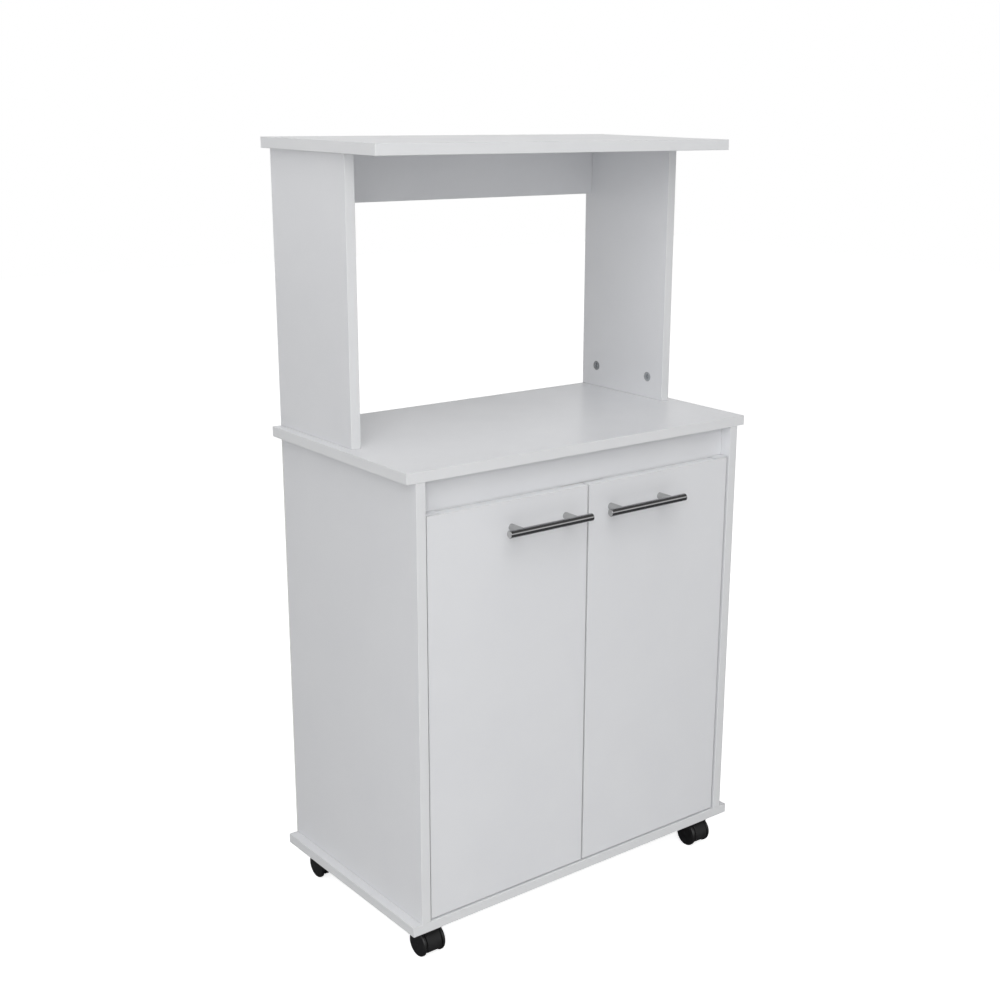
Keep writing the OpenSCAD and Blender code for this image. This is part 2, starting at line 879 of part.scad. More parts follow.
// Hood that turns on the swivel pin: a wide web between the wheels and a roof over them
module caster_hood(side, rear) {
    roof_r = wheel_r + roof_air;
    color(black) at_caster(side, rear) difference() {
        union() {
            translate([-web_w / 2, -trail, wheel_r]) lie_x(1) cylinder(r = web_r, h = web_w);
            translate([-neck_w / 2, -trail, wheel_r]) cube([neck_w, trail + web_front, z_neck - wheel_r]);
            translate([0, 0, wheel_r + roof_r]) cylinder(d = neck_d, h = z_neck - wheel_r - roof_r);
            difference() {
                translate([-roof_w / 2, -trail, wheel_r]) lie_x(1) cylinder(r = roof_r + roof_t, h = roof_w);
                translate([-roof_w / 2 - past, -trail, wheel_r]) lie_x(1) {
                    cylinder(r = roof_r, h = roof_w + 2 * past);
                }
                translate([-roof_w, -trail - wheel_d, wheel_r - wheel_d]) {
                    cube([2 * roof_w, 2 * wheel_d, wheel_d + roof_r * roof_low]);
                }
            }
        }
        translate([0, 0, z_neck]) rotate([180, 0, 0]) snap_bore(kingpin_d, kingpin_bore, kingpin_len);
        translate([-web_w / 2 - past, -trail, wheel_r]) lie_x(1) {
            cylinder(d = axle_d + 2 * fixed_air, h = web_w + 2 * past);
        }
        for (end = [-1, 1]) translate([0, -trail, wheel_r]) lie_x(end) {
            translate([0, 0, web_w / 2 + web_air - hub_in - hub_air]) {
                cylinder(d = hub_d + 2 * hub_air, h = hub_in + hub_air);
            }
        }
        translate([-web_w, -trail - wheel_d, web_foot - wheel_d]) {
            cube([2 * web_w, 2 * wheel_d, wheel_d]);
        }
    }
}

module caster_hood_fl() {
    caster_hood(-1, false);
}

module caster_hood_fr() {
    caster_hood(1, false);
}

module caster_hood_bl() {
    caster_hood(-1, true);
}

module caster_hood_br() {
    caster_hood(1, true);
}

// Half the length of an axle, from the caster's middle to the pin's end in a wheel
axle_half = wheel_pitch / 2 - wheel_w / 2 - hub_in + axle_in_wheel;

// Axle fixed in the hood, with a snap groove in each end
module caster_axle(side, rear) {
    color(steel) at_caster(side, rear) translate([0, -trail, wheel_r]) {
        for (end = [-1, 1]) lie_x(end) snap_pin(axle_d, axle_half);
    }
}

module caster_axle_fl() {
    caster_axle(-1, false);
}

module caster_axle_fr() {
    caster_axle(1, false);
}

module caster_axle_bl() {
    caster_axle(-1, true);
}

module caster_axle_br() {
    caster_axle(1, true);
}

// One wheel, its hub reaching into the web and its bore open toward it
module caster_wheel(side, rear, hand) {
    inner = wheel_pitch / 2 - wheel_w / 2;
    outer = inner + wheel_w;
    turned = rear ? -hand : hand;
    color(black) at_caster(side, rear) translate([0, -trail, wheel_r]) lie_x(turned) difference() {
        rotate_extrude() difference() {
            union() {
                translate([0, inner]) square([wheel_r - wheel_edge, wheel_w]);
                translate([0, inner - hub_in]) square([hub_d / 2, hub_in + past]);
                translate([0, inner + wheel_edge]) {
                    square([wheel_r, wheel_w - wheel_edge - wheel_round]);
                }
                translate([wheel_r - wheel_edge, inner + wheel_edge]) circle(r = wheel_edge);
                translate([wheel_r - wheel_round, outer - wheel_round]) circle(r = wheel_round);
            }
            translate([wheel_r - wheel_round, outer - wheel_round]) difference() {
                square([wheel_round + past, wheel_round + past]);
                circle(r = wheel_round);
            }
        }
        snap_bore(axle_d, axle_half + axle_end_air, axle_half);
    }
}

module wheel_fl_left() {
    caster_wheel(-1, false, -1);
}

module wheel_fl_right() {
    caster_wheel(-1, false, 1);
}

module wheel_fr_left() {
    caster_wheel(1, false, -1);
}

module wheel_fr_right() {
    caster_wheel(1, false, 1);
}

module wheel_bl_left() {
    caster_wheel(-1, true, -1);
}

module wheel_bl_right() {
    caster_wheel(-1, true, 1);
}

module wheel_br_left() {
    caster_wheel(1, true, -1);
}

module wheel_br_right() {
    caster_wheel(1, true, 1);
}

// Screws that hold the casters' plates to the base
module caster_screws() {
    color(steel) for (side = [-1, 1]) for (rear = [false, true]) at_caster(side, rear) {
        at_plate_holes() {
            translate([0, 0, z_plate]) cylinder(r = plate_screw_r, h = caster_screw_len);
            translate([0, 0, z_plate - caster_head_t]) cylinder(d = caster_head_d, h = caster_head_t);
        }
    }
}

// Bolts of all the cam connectors
module cam_bolts() {
    color(steel) for (side = [-1, 1]) {
        at_worktop_bolts(side) cam_bolt();
        at_upright_bolts(side) cam_bolt();
        at_front_bolt(side) cam_bolt();
        at_hutch_bolt(side) cam_bolt();
    }
}

// Discs that draw the bolts tight
module cam_discs() {
    color(steel) for (side = [-1, 1]) {
        at_panel_cams(side) cam_disc();
        at_upright_cams(side) cam_disc();
        at_front_cam(side) cam_disc();
        at_hutch_cam(side) cam_disc();
    }
}

// Wooden dowels that keep the boards in line
module dowels() {
    color([0.8, 0.65, 0.45]) for (side = [-1, 1]) {
        at_worktop_dowels(side) dowel();
        at_upright_dowels(side) dowel();
        at_base_dowels(side) dowel();
        at_top_dowels(side) dowel();
        at_front_dowel(side) dowel();
        at_hutch_dowels(side) dowel();
    }
}

// Long screws through the base and the top shelf
module carcass_screws() {
    color(steel) for (side = [-1, 1]) {
        at_base_screws(side) translate([0, 0, screw_sunk]) carcass_screw();
        at_top_screws(side) translate([0, 0, screw_sunk]) carcass_screw();
    }
}

// Flush caps over the screws in the top shelf
module screw_caps() {
    color(white) for (side = [-1, 1]) at_top_screws(side) cylinder(d = cap_d, h = screw_sunk);
}

// Pins that nail the back panel to the side panels
module back_panel_pins() {
    color(steel) for (side = [-1, 1]) for (z = nail_z) translate([side * x_mid, y_back, z]) {
        lie_y(-1) {
            cylinder(d1 = nail_head_d, d2 = nail_d, h = nail_head_t);
            cylinder(d = nail_d, h = nail_len);
        }
    }
}

// Flanged pins that carry the inner shelf
module shelf_pins() {
    color(steel) for (side = [-1, 1]) for (y = shelf_pin_y) {
        translate([side * x_in, y, z_shelf_pin]) {
            lie_x(side) translate([0, 0, -shelf_pin_out]) {
                cylinder(d = shelf_pin_d, h = shelf_pin_out + shelf_pin_in);
            }
            lie_x(-side) cylinder(d = shelf_pin_d + 2, h = shelf_pin_flange);
        }
    }
}

base_board();
side_panel_left();
side_panel_right();
worktop();
front_rail();
inner_shelf();
back_panel();
upright_left();
upright_right();
hutch_rail();
top_shelf();
door_left();
door_right();
pull_bar_left();
pull_bar_right();
pull_posts_left();
pull_posts_right();
pull_screws_left();
pull_screws_right();
bottom_pivots();
top_pivot_strip();
top_pivot_screws();
door_bushes_left();
door_bushes_right();
catch_case();
catch_magnets();
catch_screws();
strike_plate_left();
strike_plate_right();
caster_plate_fl();
caster_plate_fr();
caster_plate_bl();
caster_plate_br();
caster_hood_fl();
caster_hood_fr();
caster_hood_bl();
caster_hood_br();
caster_axle_fl();
caster_axle_fr();
caster_axle_bl();
caster_axle_br();
wheel_fl_left();
wheel_fl_right();
wheel_fr_left();
wheel_fr_right();
wheel_bl_left();
wheel_bl_right();
wheel_br_left();
wheel_br_right();
caster_screws();
cam_bolts();
cam_discs();
dowels();
carcass_screws();
screw_caps();
back_panel_pins();
shelf_pins();
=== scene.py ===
# %% [markdown]
# This lesson dresses a white kitchen cabinet on four casters: coated boards, two doors on
# pivot pins, steel pulls, and an open bay under a top shelf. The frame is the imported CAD
# model, in metres, with one object for each part, so every size is already right. Each
# step below makes one finish or one kind of piece, and says why it is made that way.

# %% Load the frame
import json
import math

import bmesh
import bpy
from mathutils import Matrix, Vector

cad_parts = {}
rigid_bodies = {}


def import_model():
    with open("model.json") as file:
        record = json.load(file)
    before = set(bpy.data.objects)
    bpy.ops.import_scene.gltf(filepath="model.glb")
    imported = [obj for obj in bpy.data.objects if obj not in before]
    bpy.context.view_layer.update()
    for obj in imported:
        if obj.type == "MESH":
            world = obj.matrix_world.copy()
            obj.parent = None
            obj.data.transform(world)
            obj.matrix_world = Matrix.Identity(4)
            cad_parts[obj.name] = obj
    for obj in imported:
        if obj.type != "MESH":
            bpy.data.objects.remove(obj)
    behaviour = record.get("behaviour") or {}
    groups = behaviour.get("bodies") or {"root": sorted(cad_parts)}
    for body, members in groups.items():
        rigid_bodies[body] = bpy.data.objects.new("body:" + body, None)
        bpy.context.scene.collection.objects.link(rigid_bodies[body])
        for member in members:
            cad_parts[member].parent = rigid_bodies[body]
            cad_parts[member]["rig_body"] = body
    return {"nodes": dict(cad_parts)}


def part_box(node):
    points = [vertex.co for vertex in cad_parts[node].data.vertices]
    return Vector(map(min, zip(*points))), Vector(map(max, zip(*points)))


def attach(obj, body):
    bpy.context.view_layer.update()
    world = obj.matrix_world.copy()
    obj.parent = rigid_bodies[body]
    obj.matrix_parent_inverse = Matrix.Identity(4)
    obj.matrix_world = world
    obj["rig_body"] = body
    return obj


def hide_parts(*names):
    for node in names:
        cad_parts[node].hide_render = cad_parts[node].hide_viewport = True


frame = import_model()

MM = 0.001
X, Y, Z = range(3)
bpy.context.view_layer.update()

# %% [markdown]
# A finish in Blender is a tree of nodes. It could be clicked together in the editor, but a
# tree that is written out can be read, compared and used again. Two helpers carry them all.
# One turns an sRGB hex colour into the linear numbers that the nodes expect. The other adds
# a node, sets its values and links its inputs.

# %% Colours and nodes
# A Mix node has sockets for each type of value, and these are the ones for colours
COLOUR_A, COLOUR_B, COLOUR_OUT = 6, 7, 2


def linear(code):
    """The linear red, green and blue of an sRGB hex colour, and an alpha of 1."""
    channels = [int(code[i:i + 2], 16) / 255 for i in (1, 3, 5)]
    return [c / 12.92 if c <= 0.04045 else ((c + 0.055) / 1.055) ** 2.4 for c in channels] + [1]


def add(tree, kind, values=None, links=None):
    """Adds a node. values sets what isn't linked, and links gives each input its source."""
    made = tree.nodes.new(kind)
    for key, value in (values or {}).items():
        if isinstance(key, str) and hasattr(made, key):
            setattr(made, key, value)
        else:
            made.inputs[key].default_value = value
    for key, source in (links or {}).items():
        tree.links.new(source, made.inputs[key])
    return made


print("#808080 in linear light:", round(linear("#808080")[0], 3))

# %% [markdown]
# All finishes start and end alike. Their patterns read Object coordinates, which are metres
# here and stay with a piece when it moves, so a pattern can be given its real size. Noise of
# scale 1 has features about a metre across, so its scale is one over the wanted size.

# %% Start and end of a finish
def new_surface(name):
    """A material with an empty tree, and the coordinates that its patterns read."""
    surface = bpy.data.materials.new(name)
    surface.use_nodes = True
    tree = surface.node_tree
    tree.nodes.clear()
    place = add(tree, "ShaderNodeTexCoord").outputs["Object"]
    return surface, tree, place


def per_metre(size_mm):
    """Noise scale at which one feature of the pattern is about size_mm across."""
    return 1 / (size_mm * MM)


def finish_surface(surface, tree, values, links):
    """Ends the tree with a Principled shader, and says which finish is ready."""
    shader = add(tree, "ShaderNodeBsdfPrincipled", values, links)
    add(tree, "ShaderNodeOutputMaterial", links={"Surface": shader.outputs["BSDF"]})
    print("finish ready:", surface.name)
    return surface


print("a 1 mm pattern has a noise scale of", per_metre(1))

# %% [markdown]
# The boards are particleboard faced with white melamine paper, pressed hot against a lightly
# textured steel plate. The eye gets a satin white with a fine pebble, and a tint and a gloss
# that drift a little over a board. A picture of a board could be wrapped round each piece,
# but noise has no seams and no limit of size. The real pebble is too fine to show from two
# metres away, so it is drawn 1.4 mm across.

# %% White melamine, pressed
TINT_DRIFT_MM = 90
GLOSS_DRIFT_MM = 35
PEBBLE_STRENGTH = 0.35
RESIN_IOR = 1.5


def board_skin(name, light, dark, pebble_mm, depth_mm, rough_low, rough_high):
    """A white skin between two close tints, with a pebble and a gloss that drifts."""
    surface, tree, place = new_surface(name)
    cloud = add(tree, "ShaderNodeTexNoise", {"Scale": per_metre(TINT_DRIFT_MM), "Detail": 3.0},
                {"Vector": place})
    tint = add(tree, "ShaderNodeMix",
               {"data_type": "RGBA", COLOUR_A: linear(light), COLOUR_B: linear(dark)},
               {0: cloud.outputs["Fac"]})
    pebble = add(tree, "ShaderNodeTexNoise", {"Scale": per_metre(pebble_mm), "Detail": 2.0},
                 {"Vector": place})
    bump = add(tree, "ShaderNodeBump", {"Strength": PEBBLE_STRENGTH, "Distance": depth_mm * MM},
               {"Height": pebble.outputs["Fac"]})
    smear = add(tree, "ShaderNodeTexNoise", {"Scale": per_metre(GLOSS_DRIFT_MM), "Detail": 4.0},
                {"Vector": place})
    gloss = add(tree, "ShaderNodeMapRange", {"To Min": rough_low, "To Max": rough_high},
                {"Value": smear.outputs["Fac"]})
    return finish_surface(surface, tree, {"IOR": RESIN_IOR},
                          {"Base Color": tint.outputs[COLOUR_OUT],
                           "Roughness": gloss.outputs[0], "Normal": bump.outputs[0]})


melamine = board_skin("melamine_white_pressed", "#E1E2E4", "#DCDDE0",
                      pebble_mm=1.4, depth_mm=0.03, rough_low=0.28, rough_high=0.4)

# %% [markdown]
# The narrow edges carry a strip of white ABS, glued on hot and trimmed flush. It is a touch
# duller than the face. A hair of glue shows as a fine grey line where the two meet, and it
# is rougher than both. Both are the same kind of skin, so the same function makes them.

# %% White ABS edge strip and its glue line
edge_strip = board_skin("abs_edge_strip_extruded", "#DFE0E1", "#DADBDD",
                        pebble_mm=0.9, depth_mm=0.02, rough_low=0.34, rough_high=0.46)
glue_line = board_skin("hot_melt_glue_line", "#D2D2D2", "#C8C8C8",
                       pebble_mm=1.2, depth_mm=0.02, rough_low=0.5, rough_high=0.7)

# %% [markdown]
# The back is closed with thin hardboard, rolled with white paint. It looks flatter than the
# melamine, because the fibres under the paint leave a coarser and deeper pebble. That is a
# change of numbers and not of kind, so it needs no tree of its own.

# %% Painted hardboard
hardboard = board_skin("hardboard_white_painted", "#E2E2E0", "#DCDDDB",
                       pebble_mm=2.4, depth_mm=0.04, rough_low=0.5, rough_high=0.62)

# %% [markdown]
# Where a board is drilled, its core shows: wood chips pressed with resin, in browns from
# straw to bark. A Voronoi pattern suits that better than noise, because it gives each chip,
# about 1.6 mm wide, one shade of its own and a clear border.

# %% Particleboard core
CHIP_MM = 1.6
CHIP_RELIEF_MM = 0.2


def chip_core():
    surface, tree, place = new_surface("particleboard_core_drilled")
    chips = add(tree, "ShaderNodeTexVoronoi", {"Scale": per_metre(CHIP_MM)}, {"Vector": place})
    shade = add(tree, "ShaderNodeSeparateColor", links={"Color": chips.outputs["Color"]})
    tint = add(tree, "ShaderNodeMix",
               {"data_type": "RGBA", COLOUR_A: linear("#8E6C45"), COLOUR_B: linear("#C4A477")},
               {0: shade.outputs[0]})
    bump = add(tree, "ShaderNodeBump", {"Strength": 0.5, "Distance": CHIP_RELIEF_MM * MM},
               {"Height": chips.outputs["Distance"]})
    return finish_surface(surface, tree, {"Roughness": 0.85},
                          {"Base Color": tint.outputs[COLOUR_OUT], "Normal": bump.outputs[0]})


core = chip_core()

# %% [markdown]
# The pulls are stainless steel bars, ground on a belt while they turn. The grit leaves rings
# round the bar, which stretch a highlight along its length. An anisotropic shader could fake
# that, but it leaves the surface bare close by. So the rings are drawn: noise that changes
# fast along the bar and 25 times slower across it. They are 0.35 mm apart, coarser than real.

# %% Stainless steel, belt-ground
RING_STRETCH = 0.04
RING_RELIEF_MM = 0.01
HANDLING_MM = 14


def ground_metal(name, colour, dull, ring_mm, along, rough_low, rough_high):
    """Metal with rings about the axis called along, and patches dulled by handling."""
    surface, tree, place = new_surface(name)
    squeeze = [1.0 if axis == along else RING_STRETCH for axis in (X, Y, Z)]
    lay = add(tree, "ShaderNodeMapping", {"Scale": squeeze}, {"Vector": place})
    rings = add(tree, "ShaderNodeTexNoise", {"Scale": per_metre(ring_mm), "Detail": 3.0},
                {"Vector": lay.outputs[0]})
    bump = add(tree, "ShaderNodeBump", {"Strength": 0.25, "Distance": RING_RELIEF_MM * MM},
               {"Height": rings.outputs["Fac"]})
    gloss = add(tree, "ShaderNodeMapRange", {"To Min": rough_low, "To Max": rough_high},
                {"Value": rings.outputs["Fac"]})
    handling = add(tree, "ShaderNodeTexNoise", {"Scale": per_metre(HANDLING_MM), "Detail": 4.0},
                   {"Vector": place})
    tint = add(tree, "ShaderNodeMix",
               {"data_type": "RGBA", COLOUR_A: linear(colour), COLOUR_B: linear(dull)},
               {0: handling.outputs["Fac"]})
    return finish_surface(surface, tree, {"Metallic": 1.0},
                          {"Base Color": tint.outputs[COLOUR_OUT],
                           "Roughness": gloss.outputs[0], "Normal": bump.outputs[0]})


bar_steel = ground_metal("stainless_steel_belt_ground", "#A4A4A5", "#8E8E8F",
                         ring_mm=0.35, along=X, rough_low=0.08, rough_high=0.15)

# %% [markdown]
# The posts are turned from brighter bar, and their rings run about their own length, from
# front to back. The ends of the bars are only faced on a lathe. They stay duller and catch
# light from all sides. On top of that their colour is painted paler than the bar's, as painted
# light. Their marks are drawn straight, because rings on a disc of 11 mm wouldn't show.

# %% Stainless steel, turned and faced, the faced ends painted paler
post_steel = ground_metal("stainless_steel_turned", "#C2C2C2", "#AAAAAA",
                          ring_mm=0.3, along=Y, rough_low=0.1, rough_high=0.2)
# The faced ends' colour is painted paler than the bar's, the same steel: painted light
faced_steel_with_painted_light = ground_metal("stainless_steel_faced_painted_light", "#CACACA", "#B8B8B8",
                           ring_mm=0.3, along=Y, rough_low=0.42, rough_high=0.52)

# %% [markdown]
# Screws, cams, axles and pivot pins are steel with bright zinc plate, tumbled in a barrel.
# The plate is bluish and soft, with faint streaks about 2 mm wide. A map of every scratch
# would be lost on pieces this small, so the bars' tree does, with a wider, duller pattern.

# %% Zinc-plated steel
zinc = ground_metal("zinc_plated_steel_barrelled", "#BEC1C4", "#A9ADB2",
                    ring_mm=2.2, along=X, rough_low=0.28, rough_high=0.46)

# %% [markdown]
# The casters are moulded in black nylon. The mould was spark-eroded, which leaves an even
# matt grain, and the floor soon scuffs it to a dusty grey in small patches. One noise of
# 6 mm patches sets both the scuffs' colour and their gloss, as a scuff changes both at once.
# The wheels are polished by rolling. The hoods keep the mould's grain and are duller.

# %% Black nylon
SCUFF_MM = 6
SCUFF_STARTS = 0.5
SCUFF_FULL = 0.75
GRAIN_RELIEF_MM = 0.03


def grained_skin(name, colour, scuffed, grain_mm, rough_low, rough_high, scuff_share):
    """A fine-grained skin with scuffed patches, scuff_share being the strongest scuff."""
    surface, tree, place = new_surface(name)
    scuffs = add(tree, "ShaderNodeTexNoise",
                 {"Scale": per_metre(SCUFF_MM), "Detail": 6.0, "Roughness": 0.7},
                 {"Vector": place})
    where = add(tree, "ShaderNodeMapRange",
                {"From Min": SCUFF_STARTS, "From Max": SCUFF_FULL, "To Max": scuff_share},
                {"Value": scuffs.outputs["Fac"]})
    tint = add(tree, "ShaderNodeMix",
               {"data_type": "RGBA", COLOUR_A: linear(colour), COLOUR_B: linear(scuffed)},
               {0: where.outputs[0]})
    grain = add(tree, "ShaderNodeTexNoise", {"Scale": per_metre(grain_mm), "Detail": 2.0},
                {"Vector": place})
    bump = add(tree, "ShaderNodeBump", {"Strength": 0.4, "Distance": GRAIN_RELIEF_MM * MM},
               {"Height": grain.outputs["Fac"]})
    gloss = add(tree, "ShaderNodeMapRange", {"To Min": rough_low, "To Max": rough_high},
                {"Value": scuffs.outputs["Fac"]})
    return finish_surface(surface, tree, {"IOR": RESIN_IOR},
                          {"Base Color": tint.outputs[COLOUR_OUT],
                           "Roughness": gloss.outputs[0], "Normal": bump.outputs[0]})


nylon_black = grained_skin("nylon_black_moulded", "#141415", "#2E2E2D",
                           grain_mm=0.6, rough_low=0.3, rough_high=0.5, scuff_share=0.5)
nylon_dull = grained_skin("nylon_black_spark_eroded", "#151516", "#2A2A2A",
                          grain_mm=0.5, rough_low=0.55, rough_high=0.75, scuff_share=0.4)

# %% [markdown]
# The casters' plates are steel, dipped in black paint that flows out to a soft gloss. The
# strip over the doors is powder-coated white, which bakes to a fine orange peel. Under both
# coats no metal shows, so they are grained skins like the nylon, and not metals.

# %% Coated steel
steel_black = grained_skin("steel_black_dip_coated", "#19191B", "#2C2C2D",
                           grain_mm=1.0, rough_low=0.3, rough_high=0.5, scuff_share=0.4)
powder_white = grained_skin("steel_white_powder_coated", "#DADBDD", "#CFD0D2",
                            grain_mm=0.9, rough_low=0.4, rough_high=0.55, scuff_share=0.4)

# %% [markdown]
# The catch's case, the caps and the doors' bushes are white polypropylene, a little creamier
# than the boards and slightly waxy. The magnets in the catch are ferrite, a ceramic ground
# flat: almost black and dull, with grey smears. A grained skin does for both, with the tint
# and the gloss of each.

# %% White polypropylene and ferrite
plastic_white = grained_skin("polypropylene_white_moulded", "#E0E0DC", "#D4D3CD",
                             grain_mm=0.7, rough_low=0.36, rough_high=0.5, scuff_share=0.5)
ferrite = grained_skin("ferrite_ground", "#2A2A2C", "#47464A",
                       grain_mm=0.5, rough_low=0.45, rough_high=0.65, scuff_share=0.8)

# %% [markdown]
# Dowels are rolled from beech, a pale brown wood with a fine grain. They sit inside the
# joints and hardly ever show, so noise stretched tenfold along one axis is grain enough,
# where a cut through real growth rings would take a much larger tree.

# %% Beech
STREAK_MM = 0.8
STREAK_STRETCH = 0.1
STREAK_RELIEF_MM = 0.1


def beech_wood():
    surface, tree, place = new_surface("beech_rolled")
    lay = add(tree, "ShaderNodeMapping", {"Scale": [1.0, 1.0, STREAK_STRETCH]}, {"Vector": place})
    streaks = add(tree, "ShaderNodeTexNoise", {"Scale": per_metre(STREAK_MM), "Detail": 4.0},
                  {"Vector": lay.outputs[0]})
    tint = add(tree, "ShaderNodeMix",
               {"data_type": "RGBA", COLOUR_A: linear("#CBA577"), COLOUR_B: linear("#B58A5B")},
               {0: streaks.outputs["Fac"]})
    bump = add(tree, "ShaderNodeBump", {"Strength": 0.4, "Distance": STREAK_RELIEF_MM * MM},
               {"Height": streaks.outputs["Fac"]})
    return finish_surface(surface, tree, {"Roughness": 0.6},
                          {"Base Color": tint.outputs[COLOUR_OUT], "Normal": bump.outputs[0]})


beech = beech_wood()

# %% [markdown]
# Each finished piece stands for one CAD node and rides on the body that the node belongs to,
# so a door takes its pull along. A small rounding next to a big flat face would shade the
# flat one as if it were bowed. More faces would cure that too, but weighted normals do it
# for nothing: the large faces win, and the rounding takes the change of direction.

# %% From a bmesh to a piece
def new_object(name, data):
    """An object that shows a mesh, a lamp or a camera in the scene."""
    made = bpy.data.objects.new(name, data)
    bpy.context.scene.collection.objects.link(made)
    return made


def keep_flat(piece):
    """Weighted normals, with the sharp edges kept sharp."""
    keep = piece.modifiers.new("flat_faces", "WEIGHTED_NORMAL")
    keep.keep_sharp = True


def finish_piece(name, bm, surfaces, node, weighted=True, smooth_angle=40):
    """Makes bm the piece that stands for node. Edges over smooth_angle degrees stay sharp."""
    mesh = bpy.data.meshes.new(name)
    bmesh.ops.recalc_face_normals(bm, faces=bm.faces)
    bm.to_mesh(mesh)
    bm.free()
    for surface in surfaces:
        mesh.materials.append(surface)
    mesh.polygons.foreach_set("use_smooth", [True] * len(mesh.polygons))
    mesh.set_sharp_from_angle(angle=math.radians(smooth_angle))
    piece = new_object(name, mesh)
    if weighted:
        keep_flat(piece)
    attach(piece, frame["nodes"][node]["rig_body"])
    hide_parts(node)
    print("piece:", name, len(mesh.polygons), "faces")
    return piece


# %% [markdown]
# A CAD node's mesh is loose triangles. Joined up, with its flat areas turned back into
# single faces, it can be measured and rounded. The same joined mesh tells how many separate
# solids a node holds, because a walk along the edges never leaves a solid.

# %% Reading a CAD node
WELD = 0.0005 * MM
FLAT_WITHIN = 0.5


def welded_copy(node):
    """A CAD node's mesh with its loose triangles joined."""
    bm = bmesh.new()
    bm.from_mesh(frame["nodes"][node].data)
    bmesh.ops.remove_doubles(bm, verts=bm.verts, dist=WELD)
    return bm


def merged_copy(node):
    """The joined mesh with its flat areas, within half a degree, made single faces."""
    bm = welded_copy(node)
    bmesh.ops.dissolve_limit(bm, angle_limit=math.radians(FLAT_WITHIN), verts=bm.verts,
                             edges=bm.edges, delimit={"NORMAL"})
    return bm


def lumps(node):
    """Box of each separate solid in a CAD node, as (low, high), in a steady order."""
    bm = welded_copy(node)
    left, boxes = set(bm.verts), []
    while left:
        reach = [left.pop()]
        seen = set(reach)
        while reach:
            for edge in reach.pop().link_edges:
                for vert in edge.verts:
                    if vert not in seen:
                        seen.add(vert)
                        reach.append(vert)
        left -= seen
        spans = [[v.co[i] for v in seen] for i in (X, Y, Z)]
        boxes.append((Vector([min(s) for s in spans]), Vector([max(s) for s in spans])))
    bm.free()
    return sorted(boxes, key=lambda b: [round(c, 5) for c in b[0]])


print("cam discs in the boards:", len(lumps("cam_discs")))

# %% [markdown]
# A real board's edges are eased by a few tenths of a millimetre, and that hairline of light
# is what makes it look like a board and not like a drawing of one. The slab is a cube
# scaled to the CAD box. Two insets on each big face mark the end of the edge strip, 0.9 mm
# thick, and the glue line inside it. Then all twelve edges are bevelled. The lines could be
# painted by the material, but as faces they stay crisp from any distance.

# %% A board with eased edges
STRIP = 0.9 * MM
GLUE = 0.16 * MM
EASE = 0.6 * MM
# Material slots of a board
FACED, EDGED, GLUED = range(3)
# A face looks along an axis where its normal has more than this on it
SQUARE_ON = 0.9


def slab(low, high, ease, strip=0):
    """A board between two corners, with an edge strip and its glue line if strip is given."""
    bm = bmesh.new()
    bmesh.ops.create_cube(bm, size=1)
    size = high - low
    thin = min((X, Y, Z), key=lambda i: size[i])
    bmesh.ops.scale(bm, vec=size, verts=bm.verts)
    bmesh.ops.translate(bm, vec=(low + high) / 2, verts=bm.verts)
    bm.normal_update()
    rims = list(bm.edges)
    if strip:
        big = [f for f in bm.faces if abs(f.normal[thin]) > SQUARE_ON]
        for face in bm.faces:
            face.material_index = EDGED
        bmesh.ops.inset_individual(bm, faces=big, thickness=strip, use_even_offset=True)
        ring = bmesh.ops.inset_individual(bm, faces=big, thickness=GLUE, use_even_offset=True)
        for face in ring["faces"]:
            face.material_index = GLUED
        for face in big:
            face.material_index = FACED
    bmesh.ops.bevel(bm, geom=rims, offset=ease, offset_type="OFFSET", segments=3, profile=0.5,
                    affect="EDGES", material=-1, clamp_overlap=True)
    return bm


print("edge strip, glue line and easing in mm:", [round(v / MM, 2) for v in (STRIP, GLUE, EASE)])

# %% [markdown]
# Holes are drilled into the finished board, as in the factory: a Boolean takes away plain
# cylinders that carry the core's material, and hands that material to the walls it leaves.
# Faces could be inset and pushed in instead, but a round hole in a large flat face is just
# what a Boolean does well, and its rim stays crisp.

# %% Drilling
BIT_FACETS = 40
BIT_OVERSHOOT = 2 * MM


def laid_along(way, middle):
    """The matrix that turns what stands on Z to lie along way, and moves it to middle."""
    turn = Vector((0, 0, 1)).rotation_difference(Vector(way)).to_matrix().to_4x4()
    return Matrix.Translation(middle) @ turn


def drill(piece, holes):
    """Cuts round holes. Each is (point on the face, way into the board, diameter, depth)."""
    cut = bmesh.new()
    for point, inward, wide, deep in holes:
        bit = bmesh.ops.create_cone(cut, cap_ends=True, segments=BIT_FACETS, radius1=wide / 2,
                                    radius2=wide / 2, depth=deep + BIT_OVERSHOOT)["verts"]
        middle = point + inward * (deep - BIT_OVERSHOOT) / 2
        bmesh.ops.transform(cut, matrix=laid_along(inward, middle), verts=bit)
    mesh = bpy.data.meshes.new("drill")
    cut.to_mesh(mesh)
    cut.free()
    mesh.materials.append(core)
    bits = new_object("drill", mesh)
    boolean = piece.modifiers.new("drill", "BOOLEAN")
    boolean.object = bits
    boolean.solver = "EXACT"
    boolean.material_mode = "TRANSFER"
    bpy.context.view_layer.update()
    graph = bpy.context.evaluated_depsgraph_get()
    piece.data = bpy.data.meshes.new_from_object(piece.evaluated_get(graph))
    piece.modifiers.clear()
    bpy.data.objects.remove(bits)
    print("drilled", len(holes), "holes in", piece.name)


print("a bit starts", round(BIT_OVERSHOOT / MM, 1), "mm outside the face")

# %% [markdown]
# A coated board is the slab in its three finishes, drilled where its fittings sit. The
# Boolean could stay a live modifier, but then each hole would be cut again at every change.
# So it is baked into the mesh, and the weighted normals come after it, on the drilled faces.

